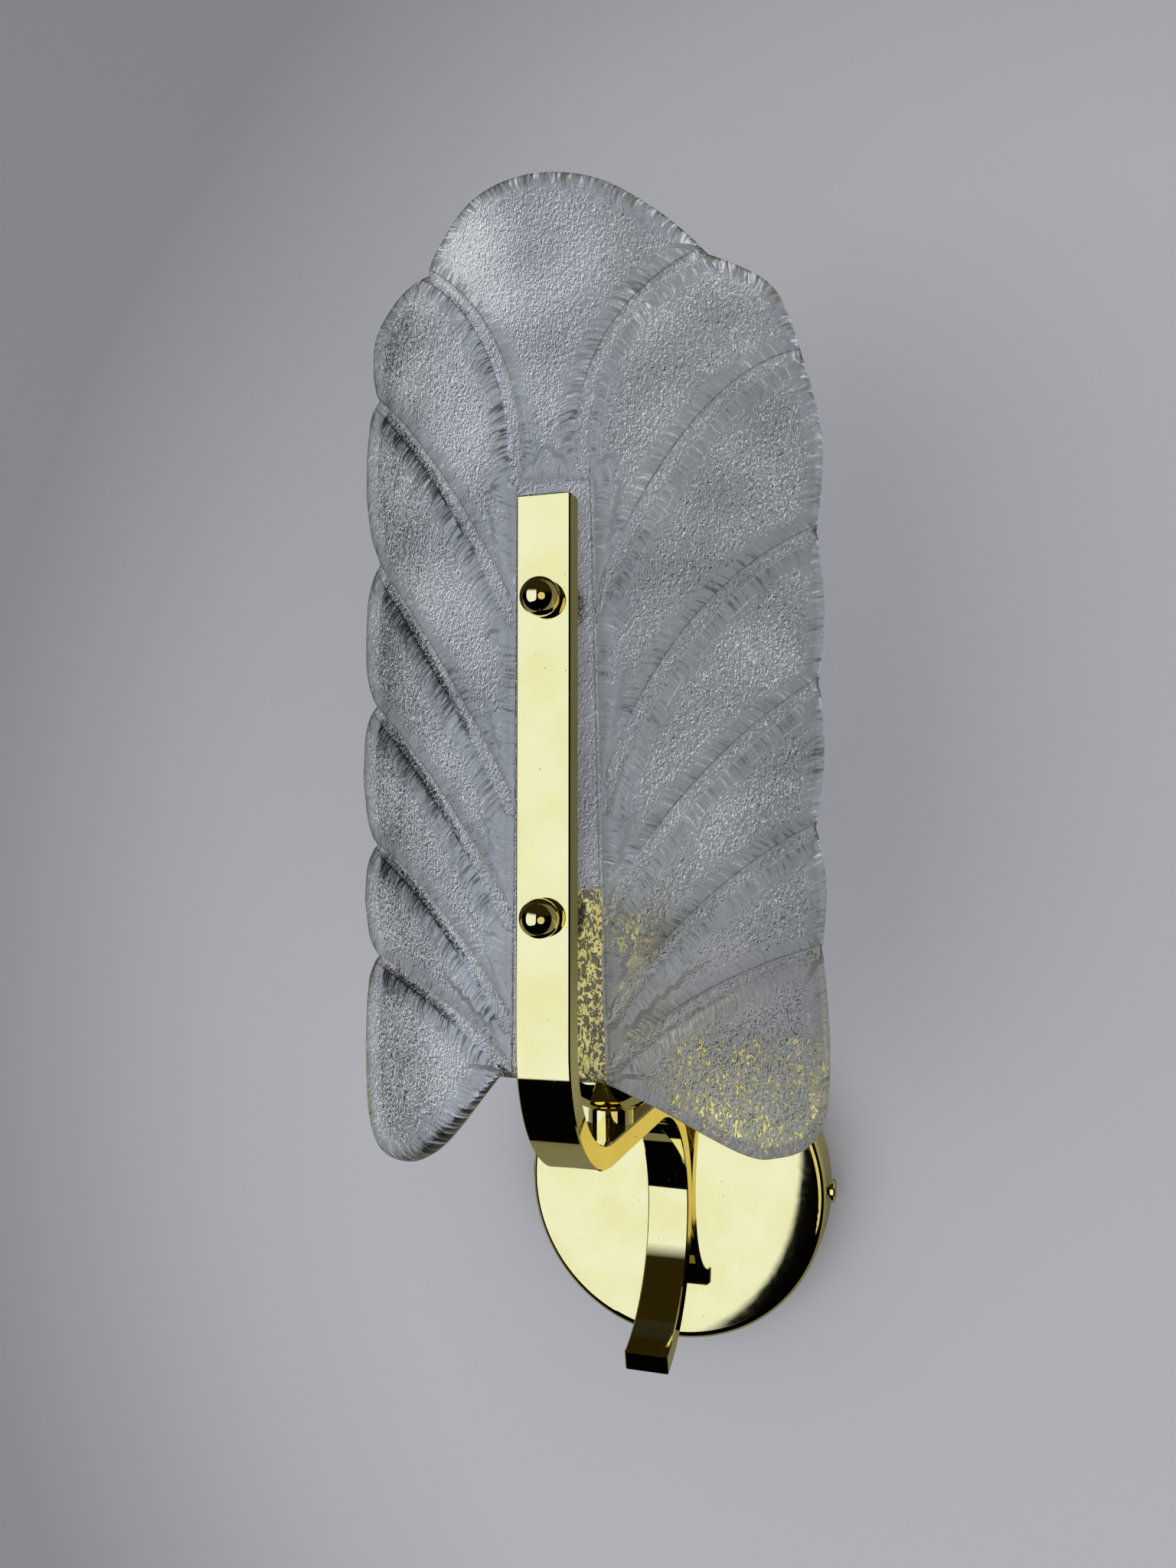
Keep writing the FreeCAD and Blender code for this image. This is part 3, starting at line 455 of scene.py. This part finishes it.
def buildLeaf():
    grid = leafNet["grid"]
    step = grid * leafNet["lineShare"]
    rim = np.vstack([throughPoints(s, step)[:-1] for s in leafOutline])
    closedRim = np.vstack([rim, rim[:1]])
    veins = [bentVein(*v, step) for v in leafVeins]
    creases = veins + [evenSteps(leafChannel, step)]
    turns = np.linspace(0.0, 2 * math.pi, leafNet["boltSides"], endpoint=False)
    ring = leaf["boltR"] * np.stack([np.cos(turns), np.sin(turns)], axis=1)
    holes = [ring + (0.0, z) for z in leaf["boltZ"]]

    # Candidate points: rows along the rim and the creases, then an even grid
    spots = []
    rooms = []
    for offset in leafNet["rimRows"]:
        for side in (-offset, offset):
            spots.append(besideLine(closedRim, side))
            rooms.append(np.full(len(closedRim), offset))
    for k, line in enumerate(creases):
        half = halfWidth(k, np.linspace(0.0, 1.0, len(line)))
        for offset in leafNet["veinRows"]:
            for side in (-1, 1):
                spots.append(besideLine(line, side * (half + offset)))
                rooms.append(half + offset)
    low = rim.min(0)
    high = rim.max(0)
    rows = np.arange(low[1], high[1], grid * math.sqrt(0.75))  # rows of even triangles
    for k, z in enumerate(rows):
        x = np.arange(low[0] + (k % 2) * grid / 2, high[0], grid)
        spots.append(np.stack([x, np.full(len(x), z)], axis=1))
        rooms.append(np.full(len(x), leafNet["gridRoom"]))
    points = np.vstack(spots)
    room = np.concatenate(rooms)
    gap = nearest(points, closedRim)[0]
    for line in creases:
        gap = np.minimum(gap, nearest(points, line)[0])
    for z in leaf["boltZ"]:
        away = np.linalg.norm(points - (0.0, z), axis=1) - leaf["boltR"]
        gap = np.where(away < leafNet["boltRoom"], -1.0, gap)
    points = points[gap > leafNet["crowd"] * room]

    # One flat net of triangles that follows the rim, the creases and the bolt holes
    lines = [closedRim] + creases + [np.vstack([h, h[:1]]) for h in holes]
    allPoints = [Vector(p) for p in points]
    edges = []
    for line in lines:
        first = len(allPoints)
        allPoints += [Vector(p) for p in line]
        edges += [(first + k, first + k + 1) for k in range(len(line) - 1)]
    net = delaunay_2d_cdt(allPoints, edges, [], 1, leafNet["merge"])
    flat = np.array([tuple(v) for v in net[0]])
    faces = np.array([f for f in net[2] if len(f) == 3])
    middle = flat[faces].mean(1)
    inHole = np.zeros(len(faces), bool)
    for z in leaf["boltZ"]:
        inHole |= np.linalg.norm(middle - (0.0, z), axis=1) < leaf["boltR"] * leafNet["insideBolt"]
    faces = faces[~inHole]
    used = np.unique(faces)
    renumber = np.full(len(flat), -1)
    renumber[used] = np.arange(len(used))
    flat = flat[used]
    faces = renumber[faces]
    corner = flat[faces]
    spin = np.cross(corner[:, 1] - corner[:, 0], corner[:, 2] - corner[:, 0])
    faces[spin < 0] = faces[spin < 0][:, ::-1]
    return flat, faces, closedRim, creases


# Where the leaf's surface changes, in mm, and how strongly
leafMarks = {
    "cord": 0.9, "flowWidth": 7.0, "onVein": 0.1, "single": 3.0, "wedge": 10.0, "wedgeEdge": 2.6,
    "rimShift": 1000.0, "veinShift": 90.0, "rimLane": 0.5, "veinLane": 3.0, "rightVeins": 6,
    "comb": 0.75, "combCloud": 1.2, "combCloudSize": 14.0, "combRight": 30.0, "combLeft": 8.0,
    "combWeak": 0.45, "combFrom": 18.0, "combRun": 55.0, "combMost": 1.2,
    "top": (225.0, 285.0), "topFrost": 0.02, "rimEdge": (5.6, 1.6), "rootLength": 34.0, "rootReach": 7.0,
    "cloud": 0.06, "cloudSize": 16.0, "frostSpot": (-26.0, 291.0), "frostSize": 15.0, "frost": 0.09,
    "footX": (4.0, 10.0), "footZ": (125.0, 95.0), "lobeX": (20.0, 30.0), "lobeZ": (88.0, 76.0), "lobe": 0.5,
    "besideSpot": (20.0, 105.0), "besideSize": (13.0, 14.0), "beside": 0.57, "noFleck": 0.5,
    "stripX": 5.0, "stripZ": 117.0, "strip": 0.085,
}


def rampFrom(values, start, end):  # 0 up to start and 1 from end on
    return np.clip((values - start) / (end - start), 0.0, 1.0)


def cloudOver(points, size, layer):
    return np.array([noise.noise(Vector((x, z, layer)) / size) for x, z in points])


def leafMesh():
    flat, faces, rimLine, creases = buildLeaf()
    flatX, flatZ = flat.T
    rimGap, rimAlong = nearest(flat, rimLine)[:2]
    found = [nearest(flat, line) for line in creases]
    gaps = np.array([f[0] for f in found])
    pick = gaps.argmin(0)
    cols = np.arange(len(flat))
    creaseGap = gaps[pick, cols]
    creaseAlong = np.array([f[1] for f in found])[pick, cols]
    creaseFoot = np.array([f[2] for f in found])[pick, cols]
    half = np.array([halfWidth(k, f[1] / f[1].max()) for k, f in enumerate(found)])[pick, cols]

    # Front: pillows between the creases, flat channel in the middle, rounded rim
    t = 1 - np.clip((creaseGap - half) / leaf["swellWidth"], 0.0, 1.0)
    crown = np.minimum(creaseGap / leaf["crownWidth"], 1.0)
    front = leaf["grooveR"] + leaf["swell"] * np.sqrt(1 - t ** 2) + leaf["crown"] * crown
    lump = cloudOver(flat, leaf["unevenSize"], 0.0)
    front += leaf["uneven"] * lump
    angle = np.arcsin(flatX / leaf["midR"])
    (rightFoot, low), (rightTop, high), (leftTop, _), (leftFoot, _) = leafChannel
    lift = (flatZ - low) / (high - low)
    rightEdge = rightFoot + lift * (rightTop - rightFoot)
    leftEdge = leftFoot + lift * (leftTop - leftFoot)
    inChannel = (flatX < rightEdge) & (flatX > leftEdge) & (lift < 1.0)
    plane = (leaf["axisY"] - leaf["channelY"]) / np.cos(angle)
    front = np.where(inChannel, plane, front)
    back = leaf["backR"] + leaf["uneven"] * np.roll(lump, leaf["backShift"])
    rounding = np.sqrt(1 - (1 - np.minimum(rimGap / leaf["rimRound"], 1.0)) ** 2)
    front = leaf["midR"] + (front - leaf["midR"]) * rounding
    back = leaf["midR"] + (back - leaf["midR"]) * rounding

    def place(r):
        return np.stack([r * np.sin(angle), leaf["axisY"] - r * np.cos(angle), flatZ], axis=1) * mm

    count = len(flat)
    onRim = rimGap < 1e-3
    twin = np.where(onRim, cols, cols + count)
    verts = np.vstack([place(front), place(back)])
    triangles = faces.tolist() + twin[faces][:, ::-1].tolist()
    # Walls of the bolt holes
    seen = {}
    for a, b, c in faces.tolist():
        for e in ((a, b), (b, c), (c, a)):
            seen[e] = seen.get(e, 0) + 1
    for a, b in list(seen):
        if (b, a) not in seen and not (onRim[a] and onRim[b]):
            triangles.append([b, a, int(twin[a]), int(twin[b])])
    keep = np.ones(2 * count, bool)
    keep[count:][onRim] = False
    order = np.cumsum(keep) - 1
    triangles = [[int(order[k]) for k in face] for face in triangles]
    mesh = bpy.data.meshes.new("glassLeaf")
    mesh.from_pydata(verts[keep].tolist(), [], triangles)
    mesh.polygons.foreach_set("use_smooth", [True] * len(mesh.polygons))

    # What the glass needs to know: distance along and across the nearest crease or rim, and how near it is
    m = leafMarks
    byRim = rimGap < creaseGap
    onChannel = pick == len(leafVeins)
    across = np.where(byRim, rimGap, creaseGap)
    along = np.where(byRim, rimAlong + m["rimShift"], creaseAlong + m["veinShift"] * pick)
    flow = np.stack([along, across, np.where(byRim, m["rimLane"], pick * m["veinLane"])], axis=1)
    cord = np.where(onChannel, 0.0, m["cord"])
    near = np.clip(1 - (across - half - cord) / m["flowWidth"], 0.0, 1.0)
    onVein = creaseGap < half + cord
    near = np.where(inChannel | onVein, m["onVein"], near * near * (3 - 2 * near))
    # Streaks die out where two creases are equally near
    firstGap, secondGap = np.sort(gaps, axis=0)[:2]
    single = np.clip((secondGap - firstGap) / m["single"], 0.0, 1.0)
    near = np.where(byRim, near, near * single)
    # Between two creases that meet at the bar the glass is smooth: such places get an edge of more than 1
    wedge = np.where(byRim | inChannel | onVein, 0.0, np.clip(1 - secondGap / m["wedge"], 0.0, 1.0))
    smoothEdge = np.maximum(near, m["wedgeEdge"] * wedge)
    # Painted shade as combs on the left of the veins, in clouds, weaker on the right half and far from the
    # bar
    rightSide = flatX > creaseFoot
    noComb = byRim | inChannel | onChannel | rightSide | (creaseFoot > m["combRight"])
    comb = np.where(noComb, 0.0, near)
    comb *= m["comb"] + m["combCloud"] * cloudOver(flat, m["combCloudSize"], 9.0)
    comb *= np.where((flatX < m["combLeft"]) | (pick == 0), 1.0, m["combWeak"])
    far = (np.abs(flatX) - m["combFrom"]) / m["combRun"]
    comb *= np.clip(m["combMost"] - far, m["combWeak"], m["combMost"])
    # The foot right of the bar is milky, with flecks in its lobe, beside the lower knob and along the bar, a
    # painted image of the brass seen through the glass
    foot = rampFrom(flatZ, *m["footZ"]) * rampFrom(flatX, *m["footX"])
    lobe = rampFrom(flatZ, *m["lobeZ"]) * rampFrom(flatX, *m["lobeX"])
    (spotX, spotZ), (wide, tall) = m["besideSpot"], m["besideSize"]
    beside = np.exp(-((flatX - spotX) / wide) ** 2 - ((flatZ - spotZ) / tall) ** 2)
    strip = inChannel & (flatX > m["stripX"]) & (flatZ < m["stripZ"])
    fleck = np.maximum(lobe * m["lobe"], beside * m["beside"]) - m["noFleck"]
    fleck = np.where(strip, m["strip"], fleck)
    fleck = np.where(foot > 0.0, fleck, -m["noFleck"])
    # Clouds, a frosty spot near the top, and painted highlights as white threads beside the right hand veins
    # and at the roots
    spot = np.linalg.norm(flat - m["frostSpot"], axis=1) / m["frostSize"]
    tone = m["cloud"] * cloudOver(flat, m["cloudSize"], 4.0)
    tone += m["frost"] * np.exp(-spot ** 2) + m["topFrost"] * rampFrom(flatZ, *m["top"])
    lit = np.where(onChannel, ~inChannel, rightSide & ~byRim & (pick < m["rightVeins"])).astype(float)
    roots = np.clip(1 - creaseAlong / m["rootLength"], 0.0, 1.0) * (across < m["rootReach"])
    roots = np.where(byRim | inChannel | onChannel, 0.0, roots * single)
    fields = {
        "leafFlow": flow, "leafEdge": smoothEdge, "leafRim": rampFrom(rimGap, *m["rimEdge"]),
        "leafCombShade": np.clip(comb, 0.0, 1.0), "leafTone": tone, "leafLitSide": lit,
        "leafVein": creaseGap - half - cord, "leafFoot": foot, "leafRoot": roots, "leafFront": np.ones(count),
        "leafFleck": fleck,
    }
    for name, field in fields.items():
        behind = 0 * field if name == "leafFront" else field
        both = np.concatenate([field, behind])[keep].astype(np.float32)
        isVector = both.ndim == 2
        layer = mesh.attributes.new(name, "FLOAT_VECTOR" if isVector else "FLOAT", "POINT")
        layer.data.foreach_set("vector" if isVector else "value", both.ravel())
    mesh.materials.append(finishes["cast_glass"])
    return mesh


glassLeaf = bpy.data.objects.new("glassLeaf", leafMesh())
glassLeaf.visible_glossy = False  # the brass mirrors the room, not the pale leaf
bpy.context.collection.objects.link(glassLeaf)
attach(glassLeaf, "frame")
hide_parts("glass_leaf")
print("leaf has", len(glassLeaf.data.vertices), "points and", len(glassLeaf.data.polygons), "faces")


# Wall and floor, in metres. The wall shows from the room side only and has a round hole behind the canopy.
# Its colour holds a painted
# falloff of light: lightest below and to the right of the lamp, falling off in an oval. Brass sees it in a
# painted warm shade: palest low down, with a painted shadow behind the leaf. The paint is matt with a
# roller's marks, in mm
room = {
    "wallY": 0.0003, "floorZ": -1.1, "half": 2.5, "hole": 0.05,
    "oval": (0.50, 0.56), "ovalMiddle": (0.14, 0.06),
    "shade": [(0.56, "#b9babe"), (0.70, "#b0b1b5"), (0.77, "#a9aaae"), (0.85, "#9fa0a4"), (1.08, "#8c8d91")],
    "mirrored": [(0.25, "#817e6b"), (0.40, "#aaa68f"), (0.50, "#a09c85"), (0.62, "#7d7a66")],
    "mirroredZ": (-0.10, 0.20), "leafShade": "#2a2412", "leafZ": (0.03, 0.08), "leafX": (0.03, 0.0),
    "floor": [(0.2, "#c4c4c8"), (0.9, "#b9b9bd")], "floorCloud": 0.35, "roller": 9.0, "rollerDepth": 0.35,
    "rough": 0.75, "ior": 1.45,
}


def roomSheet(name, corners, isWall):
    mesh = bpy.data.meshes.new(name)
    mesh.from_pydata(corners, [], [(0, 1, 2, 3)])
    sheet = bpy.data.objects.new(name, mesh)
    bpy.context.collection.objects.link(sheet)
    material, tree, place = newMaterial(name + "Paint")
    if isWall:
        # Painted falloff of light: lightest in the middle of the oval, darker away from it
        (wide, tall), (x0, z0) = room["oval"], room["ovalMiddle"]
        oval = addNode(tree, "Mapping", {"Vector": place, "Location": (-x0 / wide, 0.0, -z0 / tall),
                                         "Scale": (1 / wide, 0.0, 1 / tall)})
        oval = addNode(tree, "VectorMath", {0: oval}, "Value", operation="LENGTH")
        paint = addNode(tree, "ValToRGB", {"Fac": oval}, stops=room["shade"])
        # Painted warm shade on the wall, seen only in the brass
        spot = addNode(tree, "SeparateXYZ", {"Vector": place}).node.outputs
        rise = addNode(tree, "MapRange", {"Value": spot["Z"]}, span=room["mirroredZ"])
        warm = addNode(tree, "ValToRGB", {"Fac": rise}, stops=room["mirrored"])
        # Painted shadow behind the leaf, seen only in the brass
        high = addNode(tree, "MapRange", {"Value": spot["Z"]}, span=room["leafZ"])
        left = addNode(tree, "MapRange", {"Value": spot["X"]}, span=room["leafX"])
        behind = addNode(tree, "Math", {0: high, 1: left}, operation="MULTIPLY")
        warm = addNode(tree, "Mix", {"Factor": behind, "A": warm, "B": hexColour(room["leafShade"])},
                       data_type="RGBA")
        ray = addNode(tree, "LightPath", {}).node.outputs
        mirrored = addNode(tree, "Math", {0: ray["Is Glossy Ray"], 1: ray["Is Transmission Ray"]},
                           operation="SUBTRACT", use_clamp=True)
        paint = addNode(tree, "Mix", {"Factor": mirrored, "A": paint, "B": warm}, data_type="RGBA")
    else:
        cloud = addNode(tree, "TexNoise", {"Vector": place, "Scale": 1 / room["floorCloud"]})
        paint = addNode(tree, "ValToRGB", {"Fac": cloud}, stops=room["floor"])
    roller = addNode(tree, "TexNoise", {"Vector": place, "Scale": 1000 / room["roller"], "Detail": 4.0})
    roller = addNode(tree, "Bump", {"Height": roller, "Distance": room["rollerDepth"] * mm})
    shader = addNode(tree, "BsdfPrincipled", {"Base Color": paint, "Roughness": room["rough"],
                                              "Normal": roller, "IOR": room["ior"]})
    if isWall:
        behind = addNode(tree, "NewGeometry", {}, "Backfacing")
        reach = addNode(tree, "Mapping", {"Vector": place, "Scale": (1.0, 0.0, 1.0)})
        reach = addNode(tree, "VectorMath", {0: reach}, "Value", operation="LENGTH")
        hole = addNode(tree, "Math", {0: reach, 1: room["hole"]}, operation="LESS_THAN")
        behind = addNode(tree, "Math", {0: behind, 1: hole}, operation="MAXIMUM")
        shader = addNode(tree, "MixShader", {0: behind, 1: shader, 2: addNode(tree, "BsdfTransparent", {})})
    addNode(tree, "OutputMaterial", {"Surface": shader})
    mesh.materials.append(material)
    sheet.visible_glossy = isWall  # metal sees the windows' dark surround below, not the floor


h, y, z = room["half"], room["wallY"], room["floorZ"]
roomSheet("wallSheet", [(-h, y, z), (h, y, z), (h, y, h), (-h, y, h)], True)
roomSheet("floorSheet", [(-h, -h, z), (h, -h, z), (h, y, z), (-h, y, z)], False)

# Soft light: an even pale room and two soft panels in front. Polished metal sees the room as two windows with
# round corners in a dark wall, their middles and half sizes in degrees, to the right and up from straight out
light = {
    "roomLevel": 0.66, "roomTint": "#fafaff", "dark": "#020202", "ceiling": "#29220d",
    "ceilingFrom": (10, 25), "rear": "#8f8d86", "rearFrom": (0.1, 0.5), "aim": (0.0, 0.0, 0.1),
}
panels = [
    {"middle": (-0.70, -1.40, -0.25), "width": 1.5, "height": 1.5, "level": 1.25},
    {"middle": (0.95, -1.20, -0.45), "width": 1.0, "height": 0.9, "level": 1.5},
]
windows = [
    {"middle": (-29.4, 3.0), "half": (30.6, 36.0), "corner": 3.4, "soft": 0.04, "fade": (19, 31),
     "colour": "#dbe3ff", "level": 1.30},
    {"middle": (29.75, -6.5), "half": (19.75, 19.5), "corner": 2.4, "soft": 0.03, "fade": (40, 50),
     "colour": "#fff2c8", "level": 0.72},
]


def paleRoom():
    world = bpy.data.worlds.new("paleRoom")
    world.use_nodes = True
    tree = world.node_tree
    tree.nodes.clear()
    toward = addNode(tree, "TexCoord", {}, "Generated")
    x, y, z = addNode(tree, "SeparateXYZ", {"Vector": toward}).node.outputs
    front = addNode(tree, "Math", {0: y, 1: -1.0}, operation="MULTIPLY")
    turn = addNode(tree, "Math", {0: x, 1: front}, operation="ARCTAN2")
    lift = addNode(tree, "Math", {0: z}, operation="ARCSINE")
    above = addNode(tree, "MapRange", {"Value": lift}, span=[math.radians(k) for k in light["ceilingFrom"]])
    seen = addNode(tree, "Mix", {"Factor": above, "A": hexColour(light["dark"]),
                                 "B": hexColour(light["ceiling"])}, data_type="RGBA")
    for window in windows:
        away = 0.0
        for source, middle, half in zip((turn, lift), window["middle"], window["half"]):
            limits = (math.radians(middle), math.radians(middle + half))
            share = addNode(tree, "MapRange", {"Value": source}, span=limits, clamp=False)
            share = addNode(tree, "Math", {0: share}, operation="ABSOLUTE")
            share = addNode(tree, "Math", {0: share, 1: window["corner"]}, operation="POWER")
            away = addNode(tree, "Math", {0: share, 1: away}, operation="ADD")
        soft = window["soft"]
        glow = addNode(tree, "MapRange", {"Value": away}, span=(1 - soft, 1 + soft, window["level"], 0.0))
        start, end = (math.radians(k) for k in window["fade"])
        fade = addNode(tree, "MapRange", {"Value": lift}, span=(start, end, 1.0, 0.0))
        glow = addNode(tree, "Math", {0: glow, 1: fade}, operation="MULTIPLY")
        seen = addNode(tree, "Mix", {"Factor": glow, "A": seen, "B": hexColour(window["colour"])},
                       data_type="RGBA", blend_type="ADD", clamp_factor=False)
    rear = addNode(tree, "MapRange", {"Value": y}, span=light["rearFrom"])
    seen = addNode(tree, "Mix", {"Factor": rear, "A": seen, "B": hexColour(light["rear"])}, data_type="RGBA")
    even = addNode(tree, "Background", {"Color": hexColour(light["roomTint"]),
                                        "Strength": light["roomLevel"]})
    shown = addNode(tree, "Background", {"Color": seen})
    ray = addNode(tree, "LightPath", {}).node.outputs
    mirrored = addNode(tree, "Math", {0: ray["Is Glossy Ray"], 1: ray["Is Transmission Ray"]},
                       operation="SUBTRACT", use_clamp=True)
    both = addNode(tree, "MixShader", {0: mirrored, 1: even, 2: shown})
    addNode(tree, "OutputWorld", {"Surface": both})
    return world


bpy.context.scene.world = paleRoom()
for panel in panels:
    lamp = bpy.data.lights.new("softPanel", "AREA")
    lamp.shape = "RECTANGLE"
    lamp.size = panel["width"]
    lamp.size_y = panel["height"]
    lamp.energy = panel["level"] * math.pi * panel["width"] * panel["height"]
    lampObject = bpy.data.objects.new("softPanel", lamp)
    lampObject.location = panel["middle"]
    away = Vector(panel["middle"]) - Vector(light["aim"])
    lampObject.rotation_euler = away.to_track_quat("Z", "Y").to_euler()
    lampObject.visible_glossy = False
    bpy.context.collection.objects.link(lampObject)
print("room, windows and panels set")

# Camera at the photograph's place, in metres and degrees, for an image of 1536 by 2048
view = {"place": (0.1060, -0.4608, 0.1312), "yaw": -17.55, "pitch": 2.33, "focalPixels": 1566.0,
        "tall": 2048.0, "sensor": 36.0, "nearest": 0.01}
cameraData = bpy.data.cameras.new("photoCamera")
cameraData.sensor_width = view["sensor"]
cameraData.lens = view["sensor"] * view["focalPixels"] / view["tall"]
cameraData.clip_start = view["nearest"]
camera = bpy.data.objects.new("photoCamera", cameraData)
yaw = math.radians(view["yaw"])
pitch = math.radians(view["pitch"])
ahead = Vector((math.sin(yaw) * math.cos(pitch), math.cos(yaw) * math.cos(pitch), math.sin(pitch)))
camera.location = view["place"]
camera.rotation_euler = ahead.to_track_quat("-Z", "Y").to_euler()
bpy.context.collection.objects.link(camera)
bpy.context.scene.camera = camera
bpy.context.scene.view_settings.view_transform = "Standard"
print("camera set")
